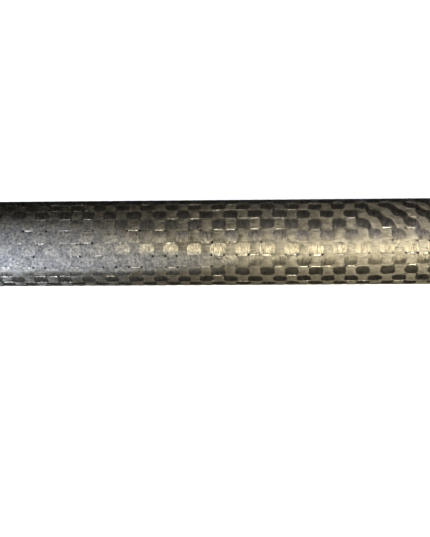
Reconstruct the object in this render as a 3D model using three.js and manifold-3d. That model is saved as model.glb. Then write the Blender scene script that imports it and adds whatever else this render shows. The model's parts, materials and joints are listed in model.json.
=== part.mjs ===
// A curling broom with a woven carbon-fibre handle and a pivoting head, lying at rest:
// the head stands on its pad, and the handle leans back until its butt cap meets the floor.
// Millimetres, +Z up. The origin is the centre of the pad's sweeping face. +X runs along the
// handle towards the butt, and +Y along the long side of the head.

import * as THREE from "three";
import { mergeVertices } from "three/addons/utils/BufferGeometryUtils.js";
import Module from "manifold-3d";

const wasm = await Module();
wasm.setup();

// ---- Driving dimensions ----

const GAP = 0.3; // kept between neighbouring solids

const PAD_LENGTH = 200; // along Y
const PAD_WIDTH = 70; // along X
const PAD_CORNER = 14; // corner radius in plan
const FABRIC = 1; // cover thickness
const FOAM_HEIGHT = 9.4;
const CARRIER_HEIGHT = 3;

const PLATE_INSET = 1.5; // the head plate stands in from the pad's edge by this much
const PLATE_FLOOR = 3;
const PLATE_RIM_HEIGHT = 3.2; // above the plate's floor
const PLATE_RIM_WALL = 3;
const HUB_RADIUS = 32.5;
const HUB_HEIGHT = 5; // above the plate's floor

const FLANGE_RADIUS = 24; // of the turret
const FLANGE_HEIGHT = 2.2;
const NECK_RADIUS = 19.4;
const SWIVEL_WASHER_HEIGHT = 1.2;
const SWIVEL_WASHER_BORE = 11;
const RING_HEIGHT = 2.8;
const RING_RADIUS = 32;
const RING_SCREW_CIRCLE = 28; // radius that the ring's screws stand on

const HINGE_HEIGHT = 46; // of the tilt axis above the floor
const EAR_THICKNESS = 7;
const EAR_RADIUS = 12;
const TONGUE_THICKNESS = 12.8;
const TONGUE_RADIUS = 11;
const FRICTION_WASHER = 0.8; // thickness, between tongue and ear
const BOLT_RADIUS = 2.7;
const BOLT_HOLE_RADIUS = BOLT_RADIUS + GAP;
const BOLT_HEAD_RADIUS = 5;
const BOLT_HEAD_HEIGHT = 5;
const BOLT_SOCKET_FLATS = 5;
const PLAIN_WASHER_RADIUS = 6.5;
const PLAIN_WASHER_THICKNESS = 1.2;
const NUT_FLATS = 10;
const BUSH_WALL = 1.5;

const SHAFT_RADIUS = 12.7; // a one-inch handle
const SHAFT_WALL = 1.5;
const SHAFT_START = 36.3; // from the tilt axis to the tube's lower end
const SHAFT_LENGTH = 1118;
const COLLAR_RADIUS = 14.2;
const COLLAR_START = 26;
const COLLAR_END = 34;
const NECK_START = 14; // where the ferrule begins to flare outside the yoke
const SPIGOT_END = 80;
const FERRULE_SCREW_AT = 60;

const CAP_RADIUS = 14.2;
const CAP_SLEEVE = 32; // length of tube that the butt cap covers
const CAP_END = 6; // thickness of its closed end
const CAP_ROUNDING = 4.5;
const BUTT_PLUG_LENGTH = 26;

// ---- Positions that follow from them ----

const FOAM_BOTTOM = FABRIC + GAP;
const CARRIER_BOTTOM = FOAM_BOTTOM + FOAM_HEIGHT + GAP;
const CARRIER_TOP = CARRIER_BOTTOM + CARRIER_HEIGHT;
const PLATE_BOTTOM = CARRIER_TOP + GAP;
const PLATE_TOP = PLATE_BOTTOM + PLATE_FLOOR;
const HUB_TOP = PLATE_TOP + HUB_HEIGHT;
const FLANGE_TOP = HUB_TOP;
const FLANGE_BOTTOM = FLANGE_TOP - FLANGE_HEIGHT;
const SWIVEL_WASHER_BOTTOM = FLANGE_BOTTOM - GAP - SWIVEL_WASHER_HEIGHT;
const RECESS_FLOOR = SWIVEL_WASHER_BOTTOM - GAP;
const RING_BOTTOM = HUB_TOP + GAP;
const RING_TOP = RING_BOTTOM + RING_HEIGHT;
const NECK_TOP = RING_TOP + 1.6;
const EAR_INNER = TONGUE_THICKNESS / 2 + GAP + FRICTION_WASHER + GAP;
const EAR_OUTER = EAR_INNER + EAR_THICKNESS;
const SHAFT_END = SHAFT_START + SHAFT_LENGTH;
const SHAFT_BORE = SHAFT_RADIUS - SHAFT_WALL;
const CAP_TIP = SHAFT_END + GAP + CAP_END;
const CAP_CONTACT = CAP_TIP - CAP_ROUNDING; // where the cap's full radius ends
const PAD_SCREW_X = 22;
const PAD_SCREW_Y = 76;

// The handle's slope: its axis leaves the hinge and its cap's lowest edge meets the floor.
const SLOPE =
  Math.asin(HINGE_HEIGHT / Math.hypot(CAP_CONTACT, CAP_RADIUS)) -
  Math.atan2(CAP_RADIUS, CAP_CONTACT);

// ---- Materials ----

function material(color, roughness, metalness = 0) {
  return new THREE.MeshStandardMaterial({ color, roughness, metalness });
}

const MATERIALS = {
  carbon: material(0x2b2b29, 0.35, 0.3),
  rubber: material(0x1b1b1c, 0.85),
  nylon: material(0x1d1e20, 0.5),
  acetal: material(0xe9e6dc, 0.4),
  steel: material(0xb4b6b8, 0.3, 1),
  brass: material(0xb8923f, 0.35, 1),
  foam: material(0x4a4c50, 0.9),
  fabric: material(0x1f4e9c, 0.8),
};

// ---- Solids: three.js makes the shapes, manifold-3d joins and cuts them ----

function solid(geometry) {
  const bare = geometry.clone();
  bare.deleteAttribute("normal");
  bare.deleteAttribute("uv");
  const merged = mergeVertices(bare, 1e-4);
  return new wasm.Manifold(
    new wasm.Mesh({
      numProp: 3,
      vertProperties: merged.attributes.position.array,
      triVerts: new Uint32Array(merged.index.array),
    }),
  );
}

function geometryOf(made) {
  const mesh = made.getMesh();
  const geometry = new THREE.BufferGeometry();
  geometry.setAttribute("position", new THREE.BufferAttribute(mesh.vertProperties, 3));
  geometry.setIndex(new THREE.BufferAttribute(mesh.triVerts, 1));
  geometry.computeVertexNormals();
  return geometry;
}

function join(first, ...others) {
  return others.reduce((sum, other) => sum.add(other), first);
}

function cut(first, ...tools) {
  return tools.reduce((left, tool) => left.subtract(tool), first);
}

// A profile of [radius, height] pairs turned about Z.
function turned(profile, segments = 48) {
  const points = profile.map(([r, z]) => new THREE.Vector2(r, z));
  return new THREE.LatheGeometry(points, segments).rotateX(Math.PI / 2);
}

function cylinder(radius, bottom, top, segments) {
  return turned([[0, bottom], [radius, bottom], [radius, top], [0, top]], segments);
}

function ring(bore, radius, bottom, top, segments) {
  const corners = [[bore, bottom], [radius, bottom], [radius, top], [bore, top], [bore, bottom]];
  return turned(corners, segments);
}

// Turns geometry built about Z so that it lies along X, or along Y.
function alongX(geometry) {
  return geometry.rotateY(Math.PI / 2);
}

function alongY(geometry) {
  return geometry.rotateX(-Math.PI / 2);
}

function hexagonalPrism(flats, bottom, top) {
  return cylinder(flats / Math.sqrt(3), bottom, top, 6);
}

// The plan outline of the head, a rounded rectangle, stepped in by inset.
function headOutline(inset) {
  const x = PAD_WIDTH / 2 - inset;
  const y = PAD_LENGTH / 2 - inset;
  const r = PAD_CORNER - inset;
  const shape = new THREE.Shape();
  shape.moveTo(x, -y + r);
  shape.lineTo(x, y - r);
  shape.absarc(x - r, y - r, r, 0, Math.PI / 2);
  shape.lineTo(-x + r, y);
  shape.absarc(-x + r, y - r, r, Math.PI / 2, Math.PI);
  shape.lineTo(-x, -y + r);
  shape.absarc(-x + r, -y + r, r, Math.PI, 1.5 * Math.PI);
  shape.lineTo(x - r, -y);
  shape.absarc(x - r, -y + r, r, 1.5 * Math.PI, 2 * Math.PI);
  return shape;
}

// A flat slab of an XY outline between two heights.
function slab(shape, bottom, top) {
  const options = { depth: top - bottom, bevelEnabled: false, curveSegments: 8 };
  return new THREE.ExtrudeGeometry(shape, options).translate(0, 0, bottom);
}

// A slab of an XZ outline, thick along Y, between two values of y.
function uprightSlab(shape, from, to) {
  const options = { depth: to - from, bevelEnabled: false, curveSegments: 16 };
  return new THREE.ExtrudeGeometry(shape, options).rotateX(Math.PI / 2).translate(0, to, 0);
}

function block(x0, x1, y0, y1, z0, z1) {
  const box = new THREE.BoxGeometry(x1 - x0, y1 - y0, z1 - z0);
  return box.translate((x0 + x1) / 2, (y0 + y1) / 2, (z0 + z1) / 2);
}

// ---- Groups: one for each body, so that its pieces move together ----

const broom = new THREE.Group();
const head = new THREE.Group();
const turret = new THREE.Group();
const handle = new THREE.Group(); // its own X is the handle's axis, from the tilt axis to the butt
handle.position.z = HINGE_HEIGHT;
handle.rotation.y = SLOPE;
broom.add(head, turret, handle);

function add(group, name, shape, slot) {
  const geometry = shape.isBufferGeometry ? shape : geometryOf(shape);
  const mesh = new THREE.Mesh(geometry, MATERIALS[slot]);
  mesh.name = name;
  group.add(mesh);
  return mesh;
}

// ---- Pad ----

function padCover() {
  const outside = solid(slab(headOutline(0), 0, CARRIER_TOP));
  return cut(outside, solid(slab(headOutline(FABRIC), FABRIC, CARRIER_TOP + 1)));
}

function padFoam() {
  return slab(headOutline(FABRIC + GAP), FOAM_BOTTOM, FOAM_BOTTOM + FOAM_HEIGHT);
}

const PAD_SCREWS = [];
for (const x of [-PAD_SCREW_X, PAD_SCREW_X]) {
  for (const y of [-PAD_SCREW_Y, PAD_SCREW_Y]) PAD_SCREWS.push([x, y]);
}
const INSERT_RADIUS = 3.2;
const INSERT_BORE = 2;

function padCarrier() {
  let carrier = solid(slab(headOutline(FABRIC + GAP), CARRIER_BOTTOM, CARRIER_TOP));
  for (const [x, y] of PAD_SCREWS) {
    const hole = cylinder(INSERT_RADIUS + GAP, CARRIER_BOTTOM - 1, CARRIER_TOP + 1, 24);
    carrier = cut(carrier, solid(hole.translate(x, y, 0)));
  }
  return carrier;
}

// ---- Screws: a pan head with a hexagonal socket, standing on Z with its underside at z = 0 ----

function panHeadScrew(headRadius, headHeight, shankRadius, shankLength, flats) {
  const crown = headHeight * 0.75;
  const body = turned(
    [
      [0, -shankLength],
      [shankRadius * 0.8, -shankLength],
      [shankRadius, -shankLength + shankRadius * 0.4],
      [shankRadius, 0],
      [headRadius, 0],
      [headRadius, headHeight * 0.45],
      [headRadius * 0.82, headHeight * 0.85],
      [headRadius * 0.5, headHeight],
      [0, headHeight],
    ],
    24,
  );
  const socket = hexagonalPrism(flats, headHeight - crown, headHeight + 1);
  return geometryOf(cut(solid(body), solid(socket)));
}

// ---- Head plate ----

const PAD_SCREW_SHANK = 1.7;
const PAD_SCREW_HEAD = 3.6;
const PAD_SCREW_HEAD_HEIGHT = 2.4;
const PAD_BOSS_RADIUS = 6.5;
const PAD_BOSS_TOP = PLATE_TOP + PLATE_RIM_HEIGHT;
const RIB_THICKNESS = 2.4;
const RIB_REACH = PAD_LENGTH / 2 - 6; // how far along Y the long ribs run
const RIB_SPACING = 15; // between neighbouring long ribs
const CROSS_RIBS = [50, 64]; // how far out the cross ribs stand
const RING_SCREW_SHANK = 1.3;
const RING_SCREW_LENGTH = 6.5;
const RING_SCREW_HOLE = RING_SCREW_SHANK + GAP;

const RING_SCREW_PLACES = [45, 135, 225, 315].map((degrees) => {
  const angle = THREE.MathUtils.degToRad(degrees);
  return [RING_SCREW_CIRCLE * Math.cos(angle), RING_SCREW_CIRCLE * Math.sin(angle)];
});

// A long rib falls from the hub's height to the rim's height towards both ends.
function longRib(x) {
  const side = new THREE.Shape();
  side.moveTo(-RIB_REACH, PLATE_TOP - 0.5);
  side.lineTo(RIB_REACH, PLATE_TOP - 0.5);
  side.lineTo(RIB_REACH, PLATE_TOP + PLATE_RIM_HEIGHT * 0.6);
  side.lineTo(HUB_RADIUS, HUB_TOP - 0.4);
  side.lineTo(-HUB_RADIUS, HUB_TOP - 0.4);
  side.lineTo(-RIB_REACH, PLATE_TOP + PLATE_RIM_HEIGHT * 0.6);
  const options = { depth: RIB_THICKNESS, bevelEnabled: false };
  const rib = new THREE.ExtrudeGeometry(side, options);
  // The outline's own X becomes Y and its Y becomes Z, so its depth runs along X.
  rib.rotateX(Math.PI / 2).rotateZ(Math.PI / 2);
  return rib.translate(x - RIB_THICKNESS / 2, 0, 0);
}

function headPlate() {
  const floor = solid(slab(headOutline(PLATE_INSET), PLATE_BOTTOM, PLATE_TOP));
  const rimTop = PLATE_TOP + PLATE_RIM_HEIGHT;
  const rimOutside = solid(slab(headOutline(PLATE_INSET), PLATE_TOP - 0.5, rimTop));
  const rimInset = PLATE_INSET + PLATE_RIM_WALL;
  const rim = cut(rimOutside, solid(slab(headOutline(rimInset), PLATE_TOP - 1, rimTop + 1)));
  const hub = solid(cylinder(HUB_RADIUS, PLATE_TOP - 0.5, HUB_TOP, 64));
  let plate = join(floor, rim, hub);
  for (const x of [-RIB_SPACING, 0, RIB_SPACING]) plate = join(plate, solid(longRib(x)));
  const crossHalf = PAD_WIDTH / 2 - rimInset + 0.5;
  for (const y of CROSS_RIBS.flatMap((away) => [-away, away])) {
    const from = y - RIB_THICKNESS / 2;
    const rib = block(-crossHalf, crossHalf, from, from + RIB_THICKNESS, PLATE_TOP - 0.5, rimTop - 1);
    plate = join(plate, solid(rib));
  }
  for (const [x, y] of PAD_SCREWS) {
    const boss = cylinder(PAD_BOSS_RADIUS, PLATE_TOP - 0.5, PAD_BOSS_TOP, 32).translate(x, y, 0);
    plate = join(plate, solid(boss));
  }
  for (const [x, y] of PAD_SCREWS) {
    const hole = cylinder(PAD_SCREW_SHANK + GAP, PLATE_BOTTOM - 1, PLATE_TOP + 1, 24);
    const seat = cylinder(PAD_SCREW_HEAD + 0.6, PLATE_TOP, PAD_BOSS_TOP + 1, 32);
    plate = cut(plate, solid(hole.translate(x, y, 0)), solid(seat.translate(x, y, 0)));
  }
  plate = cut(plate, solid(cylinder(FLANGE_RADIUS + GAP + 0.1, RECESS_FLOOR, HUB_TOP + 1, 64)));
  for (const [x, y] of RING_SCREW_PLACES) {
    const deepest = RING_TOP + GAP - RING_SCREW_LENGTH - GAP;
    const hole = cylinder(RING_SCREW_HOLE, deepest, HUB_TOP + 1, 24).translate(x, y, 0);
    plate = cut(plate, solid(hole));
  }
  return plate;
}

function retainingRing() {
  let made = solid(ring(NECK_RADIUS + GAP + 0.1, RING_RADIUS, RING_BOTTOM, RING_TOP, 64));
  for (const [x, y] of RING_SCREW_PLACES) {
    const hole = cylinder(RING_SCREW_HOLE, RING_BOTTOM - 1, RING_TOP + 1, 24).translate(x, y, 0);
    made = cut(made, solid(hole));
  }
  return made;
}

// ---- Turret: a flange that turns in the head, and the yoke that carries the hinge bolt ----

function ear(from, to) {
  const side = new THREE.Shape();
  side.moveTo(-EAR_RADIUS, NECK_TOP - 1);
  side.lineTo(EAR_RADIUS, NECK_TOP - 1);
  side.lineTo(EAR_RADIUS, HINGE_HEIGHT);
  side.absarc(0, HINGE_HEIGHT, EAR_RADIUS, 0, Math.PI);
  side.lineTo(-EAR_RADIUS, NECK_TOP - 1);
  return solid(uprightSlab(side, from, to));
}

function turretYoke() {
  const base = solid(
    turned(
      [
        [0, FLANGE_BOTTOM],
        [FLANGE_RADIUS, FLANGE_BOTTOM],
        [FLANGE_RADIUS, FLANGE_TOP],
        [NECK_RADIUS, FLANGE_TOP],
        [NECK_RADIUS, NECK_TOP - 0.8],
        [NECK_RADIUS - 0.8, NECK_TOP],
        [0, NECK_TOP],
      ],
      64,
    ),
  );
  const yoke = join(base, ear(EAR_INNER, EAR_OUTER), ear(-EAR_OUTER, -EAR_INNER));
  const bore = alongY(cylinder(BOLT_HOLE_RADIUS, -EAR_OUTER - 1, EAR_OUTER + 1, 32));
  return cut(yoke, solid(bore.translate(0, 0, HINGE_HEIGHT)));
}

function onHinge(geometry) {
  return alongY(geometry).translate(0, 0, HINGE_HEIGHT);
}

const HEAD_SEAT = EAR_OUTER + GAP + PLAIN_WASHER_THICKNESS + GAP; // where bolt head and nut begin
const NUT_HEIGHT = 5;

function pivotBolt() {
  const tip = -HEAD_SEAT - NUT_HEIGHT - 1;
  const body = solid(
    turned(
      [
        [0, tip],
        [BOLT_RADIUS - 0.5, tip],
        [BOLT_RADIUS, tip + 0.5],
        [BOLT_RADIUS, HEAD_SEAT],
        [BOLT_HEAD_RADIUS, HEAD_SEAT],
        [BOLT_HEAD_RADIUS, HEAD_SEAT + BOLT_HEAD_HEIGHT - 0.5],
        [BOLT_HEAD_RADIUS - 0.5, HEAD_SEAT + BOLT_HEAD_HEIGHT],
        [0, HEAD_SEAT + BOLT_HEAD_HEIGHT],
      ],
      32,
    ),
  );
  const crown = HEAD_SEAT + BOLT_HEAD_HEIGHT;
  const socket = solid(hexagonalPrism(BOLT_SOCKET_FLATS, crown - 3, crown + 1));
  return onHinge(geometryOf(cut(body, socket)));
}

// A nylon-insert lock nut: hexagonal, with a round collar on its outer end.
function pivotNut() {
  const outer = -HEAD_SEAT - NUT_HEIGHT;
  const hexagon = solid(hexagonalPrism(NUT_FLATS, outer + 1.3, -HEAD_SEAT));
  const collar = solid(cylinder(NUT_FLATS / 2 - 0.3, outer, outer + 2, 32));
  const bore = solid(cylinder(BOLT_HOLE_RADIUS, outer - 1, -HEAD_SEAT + 1, 32));
  return onHinge(geometryOf(cut(join(hexagon, collar), bore)));
}

function plainWasher(side) {
  const from = side > 0 ? EAR_OUTER + GAP : -EAR_OUTER - GAP - PLAIN_WASHER_THICKNESS;
  return onHinge(ring(BOLT_HOLE_RADIUS, PLAIN_WASHER_RADIUS, from, from + PLAIN_WASHER_THICKNESS, 32));
}

function frictionWasher(side) {
  const near = TONGUE_THICKNESS / 2 + GAP;
  const from = side > 0 ? near : -near - FRICTION_WASHER;
  return onHinge(ring(BOLT_HOLE_RADIUS, TONGUE_RADIUS - 0.5, from, from + FRICTION_WASHER, 32));
}

// ---- Handle, in its own frame: X along the tube, with the tilt axis at the origin ----

const BUSH_RADIUS = BOLT_HOLE_RADIUS + BUSH_WALL;
const FERRULE_SCREW_SHANK = 1.5;
const FERRULE_SCREW_DEPTH = 8;

function ferruleScrewHole(radius) {
  const hole = cylinder(radius, -SHAFT_RADIUS - 1, SHAFT_RADIUS + 1, 24);
  return solid(alongY(hole).translate(FERRULE_SCREW_AT, 0, 0));
}

function ferrule() {
  const turnedBody = solid(
    alongX(
      turned([
        [0, NECK_START],
        [TONGUE_RADIUS - 2, NECK_START],
        [TONGUE_RADIUS, NECK_START + 1.5],
        [12.6, 20],
        [COLLAR_RADIUS, COLLAR_START],
        [COLLAR_RADIUS, COLLAR_END - 0.6],
        [COLLAR_RADIUS - 0.6, COLLAR_END],
        [SHAFT_BORE - GAP, COLLAR_END],
        [SHAFT_BORE - GAP, SPIGOT_END - 1],
        [SHAFT_BORE - GAP - 1, SPIGOT_END],
        [0, SPIGOT_END],
      ]),
    ),
  );
  const side = new THREE.Shape();
  side.moveTo(0, -TONGUE_RADIUS);
  side.lineTo(NECK_START + 3, -TONGUE_RADIUS + 1);
  side.lineTo(NECK_START + 3, TONGUE_RADIUS - 1);
  side.lineTo(0, TONGUE_RADIUS);
  side.absarc(0, 0, TONGUE_RADIUS, Math.PI / 2, 1.5 * Math.PI);
  const tongue = solid(uprightSlab(side, -TONGUE_THICKNESS / 2, TONGUE_THICKNESS / 2));
  const bore = solid(alongY(cylinder(BUSH_RADIUS + GAP, -10, 10, 32)));
  return cut(join(turnedBody, tongue), bore, ferruleScrewHole(FERRULE_SCREW_SHANK + GAP));
}

function hingeBush() {
  return alongY(
    ring(BOLT_HOLE_RADIUS, BUSH_RADIUS, -TONGUE_THICKNESS / 2, TONGUE_THICKNESS / 2, 32),
  );
}

function sealRing() {
  const bore = SHAFT_BORE;
  return alongX(ring(bore, SHAFT_RADIUS + 0.6, COLLAR_END + GAP, SHAFT_START - GAP, 48));
}

function shaftTube() {
  const tube = solid(alongX(ring(SHAFT_BORE, SHAFT_RADIUS, SHAFT_START, SHAFT_END, 64)));
  return cut(tube, ferruleScrewHole(FERRULE_SCREW_SHANK + GAP));
}

// A button-head screw through the tube's wall into the spigot, on the +Y or the -Y side.
function ferruleScrew(side) {
  const head = panHeadScrew(3.2, 1.8, FERRULE_SCREW_SHANK, FERRULE_SCREW_DEPTH, 2.5);
  head.translate(0, 0, SHAFT_RADIUS + GAP);
  head.rotateX(side > 0 ? -Math.PI / 2 : Math.PI / 2);
  return head.translate(FERRULE_SCREW_AT, 0, 0);
}

function buttPlug() {
  const plug = turned([
    [0, SHAFT_END - BUTT_PLUG_LENGTH],
    [SHAFT_BORE - GAP - 1, SHAFT_END - BUTT_PLUG_LENGTH],
    [SHAFT_BORE - GAP, SHAFT_END - BUTT_PLUG_LENGTH + 1],
    [SHAFT_BORE - GAP, SHAFT_END],
    [0, SHAFT_END],
  ]);
  return alongX(plug);
}

function buttCap() {
  const bore = SHAFT_RADIUS + GAP;
  const mouth = SHAFT_END - CAP_SLEEVE;
  const profile = [
    [0, SHAFT_END + GAP],
    [bore, SHAFT_END + GAP],
    [bore, mouth],
    [CAP_RADIUS - 0.5, mouth],
    [CAP_RADIUS, mouth + 0.5],
  ];
  const steps = 6;
  for (let i = 0; i <= steps; i++) {
    const angle = ((Math.PI / 2) * i) / steps;
    const r = CAP_RADIUS - CAP_ROUNDING * (1 - Math.cos(angle));
    profile.push([r, CAP_CONTACT + CAP_ROUNDING * Math.sin(angle)]);
  }
  profile.push([0, CAP_TIP]);
  return alongX(turned(profile));
}

// ---- Assembly ----

add(head, "pad_cover", padCover(), "fabric");
add(head, "pad_foam", padFoam(), "foam");
add(head, "pad_carrier", padCarrier(), "nylon");
add(head, "head_plate", headPlate(), "nylon");
add(head, "retaining_ring", retainingRing(), "nylon");
const swivelWasherTop = SWIVEL_WASHER_BOTTOM + SWIVEL_WASHER_HEIGHT;
add(
  head,
  "swivel_washer",
  ring(SWIVEL_WASHER_BORE, FLANGE_RADIUS - 0.5, SWIVEL_WASHER_BOTTOM, swivelWasherTop, 48),
  "acetal",
);

RING_SCREW_PLACES.forEach(([x, y], i) => {
  const screw = panHeadScrew(2.9, 1.8, RING_SCREW_SHANK, RING_SCREW_LENGTH, 2);
  add(head, `ring_screw_${i + 1}`, screw, "steel").position.set(x, y, RING_TOP + GAP);
});

PAD_SCREWS.forEach(([x, y], i) => {
  const shank = PLATE_TOP + GAP - CARRIER_BOTTOM - 0.5;
  const screw = panHeadScrew(PAD_SCREW_HEAD, PAD_SCREW_HEAD_HEIGHT, PAD_SCREW_SHANK, shank, 2.5);
  add(head, `pad_screw_${i + 1}`, screw, "steel").position.set(x, y, PLATE_TOP + GAP);
  const insert = ring(INSERT_BORE, INSERT_RADIUS, CARRIER_BOTTOM + 0.2, CARRIER_TOP - 0.2, 24);
  add(head, `pad_insert_${i + 1}`, insert, "brass").position.set(x, y, 0);
});

add(turret, "turret_yoke", turretYoke(), "nylon");
add(turret, "pivot_bolt", pivotBolt(), "steel");
add(turret, "pivot_nut", pivotNut(), "steel");
add(turret, "bolt_washer", plainWasher(1), "steel");
add(turret, "nut_washer", plainWasher(-1), "steel");
add(turret, "friction_washer_left", frictionWasher(1), "acetal");
add(turret, "friction_washer_right", frictionWasher(-1), "acetal");

add(handle, "ferrule", ferrule(), "nylon");
add(handle, "hinge_bush", hingeBush(), "brass");
add(handle, "seal_ring", sealRing(), "rubber");
add(handle, "shaft_tube", shaftTube(), "carbon");
add(handle, "ferrule_screw_left", ferruleScrew(1), "steel");
add(handle, "ferrule_screw_right", ferruleScrew(-1), "steel");
add(handle, "butt_plug", buttPlug(), "nylon");
add(handle, "butt_cap", buttCap(), "rubber");

export default broom;
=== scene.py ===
"""A curling broom with a woven carbon-fibre handle, lying on a pale floor.

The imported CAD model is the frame. The handle's tube, its butt cap and the sewn pad are made here,
and the moulded and metal parts of the head keep their CAD shapes with bevels and finishes added.
The camera looks closely at the middle of the handle.
"""

import json
import math

import bpy
import numpy as np
from mathutils import Matrix, Vector


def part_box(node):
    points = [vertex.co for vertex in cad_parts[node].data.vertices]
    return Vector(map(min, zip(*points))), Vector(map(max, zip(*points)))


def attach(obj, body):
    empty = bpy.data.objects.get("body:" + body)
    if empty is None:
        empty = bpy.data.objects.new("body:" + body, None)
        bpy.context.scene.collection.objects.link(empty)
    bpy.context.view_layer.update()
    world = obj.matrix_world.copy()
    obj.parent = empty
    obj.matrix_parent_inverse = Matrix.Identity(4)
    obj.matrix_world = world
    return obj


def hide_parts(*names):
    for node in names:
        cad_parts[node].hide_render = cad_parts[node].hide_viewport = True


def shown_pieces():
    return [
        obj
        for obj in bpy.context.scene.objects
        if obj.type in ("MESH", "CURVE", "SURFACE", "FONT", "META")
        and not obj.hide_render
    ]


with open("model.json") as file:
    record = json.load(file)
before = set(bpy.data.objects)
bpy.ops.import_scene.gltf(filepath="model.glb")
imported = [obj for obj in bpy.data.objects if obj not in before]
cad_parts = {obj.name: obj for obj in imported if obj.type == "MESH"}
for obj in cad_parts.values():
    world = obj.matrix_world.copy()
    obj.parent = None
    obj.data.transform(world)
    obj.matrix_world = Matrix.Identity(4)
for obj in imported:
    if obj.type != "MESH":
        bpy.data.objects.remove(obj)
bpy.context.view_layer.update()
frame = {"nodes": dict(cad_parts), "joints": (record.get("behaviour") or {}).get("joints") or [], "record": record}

# ---- Places and sizes that follow from the frame, in metres ----

TILT = next(joint for joint in frame["joints"] if joint["name"] == "handle_tilt")
HINGE = Vector(TILT["pos_m"])
TUBE_LOW, TUBE_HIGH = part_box("shaft_tube")
TUBE_MIDDLE = (TUBE_LOW + TUBE_HIGH) / 2
TUBE_RADIUS = (TUBE_HIGH.y - TUBE_LOW.y) / 2
SHAFT_AXIS = (TUBE_MIDDLE - HINGE).normalized()
SLOPE = math.asin(-SHAFT_AXIS.z)
TUBE_LENGTH = (TUBE_HIGH.x - TUBE_LOW.x - 2 * TUBE_RADIUS * math.sin(SLOPE)) / math.cos(SLOPE)
TUBE_START = (TUBE_MIDDLE - HINGE).length - TUBE_LENGTH / 2
TUBE_WALL = 0.0015

# A matrix from the handle's own frame, with X along the tube from the hinge, to the row frame.
HANDLE = Matrix.Translation(HINGE) @ Matrix.Rotation(SLOPE, 4, "Y")

# ---- Butt cap ----

CAP_RADIUS = (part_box("butt_cap")[1].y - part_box("butt_cap")[0].y) / 2
CAP_SLEEVE = 0.032  # length of tube that it covers
CAP_TIP = 0.0063  # how far its end stands past the tube's
CAP_ROUNDING = 0.0045
CAP_CLEARANCE = 0.0003  # between sleeve and tube
CAP_LIP = 0.0005  # bevel round its mouth
CAP_CENTRE = 0.0002  # radius of the small faces that close it on its axis
CAP_COLUMNS = 96  # mesh steps round it
CAP_STEP = 0.0003  # between mesh rows along its side
CAP_GROOVES = 5
FIRST_GROOVE = 0.006  # from its mouth to the middle of the first groove
GROOVE_SPACING = 0.0042
GROOVE_DEPTH = 0.0006
DIMPLE_RADIUS = CAP_RADIUS * 0.45
DIMPLE_DEPTH = 0.0004

# ---- Pad ----

PAD_LOW, PAD_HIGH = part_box("pad_cover")
PAD_CORNER = 0.014  # corner radius in plan
PAD_COLUMNS = 264  # mesh steps round it
PAD_EDGE = 0.004  # rounding between the sweeping face and the sides
FLAT_INSETS = (0.012, 0.009, 0.0065)  # of the mesh rows on the sweeping face
SIDE_ROWS = 8  # mesh rows from the rounding up to the hem
COVER_THICKNESS = 0.0006
COVER_BULGE = 0.0012  # the most that the sides may swell
COVER_SLACK = 0.02  # spare cloth, as a share of its length
COVER_PRESSURE = 4  # that swells the cloth
COVER_FRAMES = 20  # for the cloth to come to rest
FLAT_ROWS = 2  # mesh rows that the foam holds flat underneath
HEM_ROWS = 4  # mesh rows that the stitches hold flat
HEM_DROP = 0.0002  # from the frame's top of the cover down to its edge
PLEAT_DEPTH = 0.0003  # of the gathers at the corners
PLEATS = 7  # at each corner
TAPE_WIDTH = 0.0022  # of the hem's tape, once it is folded
TAPE_BULK = 0.0005  # half of its thickness
TAPE_RISE = 0.0004  # how far it stands over the cover's edge
TAPE_SIDES = 12
STITCH_LENGTH = 0.0021
STITCH_RADIUS = 0.0002
STITCH_SIDES = 8
STITCH_COLUMNS = 2  # the cover's columns from one stitch to the next
FOAM_INSET = 0.0022  # from the outside of the cover
FOAM_ROUNDING = 0.003
FOAM_BEVEL = 0.0005  # round its top

# ---- Weave ----

CELLS_AROUND = 24  # tows round the tube
CELL_AROUND = 2 * math.pi / CELLS_AROUND
CELL_ALONG = 0.00347
STEPS_ALONG = 4  # mesh steps in each cell
STEPS_AROUND = 3
TUBE_COLUMNS = round(TUBE_LENGTH / CELL_ALONG) * STEPS_ALONG
TUBE_ROWS = CELLS_AROUND * STEPS_AROUND
CROWN_HEIGHT = 0.00007  # of a tow's crown above its edges
WEAVE_TURN = math.radians(-4.4)  # from the top of the tube to the edge of a tow
WIDEST_ROW = -2.5  # rows from there to where the tows lie widest apart
CROWDING_SPAN = 6  # rows from there to where they lie closest
ROW_SPREAD = 0.25  # cells by which they crowd in between
RIDGE_HALF_WIDTH = 0.09  # of the resin between rows, in cells
RIDGE_HEIGHT = 0.00012
PINHOLE_RADIUS = 0.13  # in cells

HOOP_TOW = (0.385, 0.372, 0.335)
AXIAL_TOW = (0.098, 0.096, 0.086)
RESIN_GLINT = (0.95, 0.95, 0.9)
PINHOLE = (0.004, 0.004, 0.004)
# Scuffed dull grey, its faint blue tint painted to stand in for cool reflected light.
SCUFF_GREY_AND_PAINTED_COOL_TINT = (0.19, 0.195, 0.21)

# Marks on the tube: how far along it they are from its middle, how far round from its top, and
# how far they reach along it and round it.
SCUFF_MARK = (-0.064, math.radians(-37), 0.054, 0.0096)
RUBBED_MARK = (-0.030, math.radians(-58), 0.046, 0.0043)
ASKEW_MARK = (0.064, math.radians(2), 0.030, 0.009)

# ---- Parts that keep their CAD shapes ----

WELD_DISTANCE = 0.000002
FLAT_TURN = math.radians(0.5)  # faces that turn by less are joined into one
GENTLE_EDGE = math.radians(32)  # edges that turn by less look smooth
EDGE_ROUNDING = {
    "carbon": 0.0001,
    "rubber": 0.0002,
    "nylon": 0.0004,
    "acetal": 0.00015,
    "steel": 0.00015,
    "brass": 0.00015,
    "foam": 0.0002,
    "fabric": 0.0002,
}

# ---- Picture and light ----

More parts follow.
